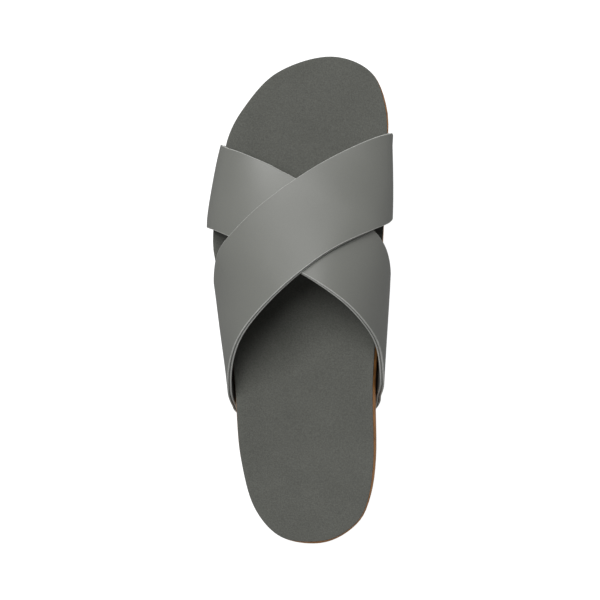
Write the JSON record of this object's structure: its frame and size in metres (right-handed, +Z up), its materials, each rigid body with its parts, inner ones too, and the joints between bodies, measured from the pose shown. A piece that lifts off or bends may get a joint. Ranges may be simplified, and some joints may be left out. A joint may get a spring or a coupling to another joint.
{
  "type": "crossed-strap leather slide slipper",
  "caption": "Open-toe, backless leather slide for the left foot, with wide crossed straps over a suede-covered foot bed on a cork-like sole.",
  "frame": {"origin": "on the floor, under the middle of the whole shoe's box", "axes": "+Y from heel to toe, +X to the big toe's side, +Z up from the floor"},
  "size_m": [0.1058, 0.2764, 0.0826],
  "materials": {
    "outsole_rubber": "matt",
    "midsole_cork": "fine-grained, satin",
    "insole_suede": "napped suede",
    "strap_leather": "smooth, satin"
  },
  "bodies": {
    "root": {"outsole": "outsole_rubber", "midsole": "midsole_cork", "insole": "insole_suede", "upper": "strap_leather"}
  },
  "joints": []
}
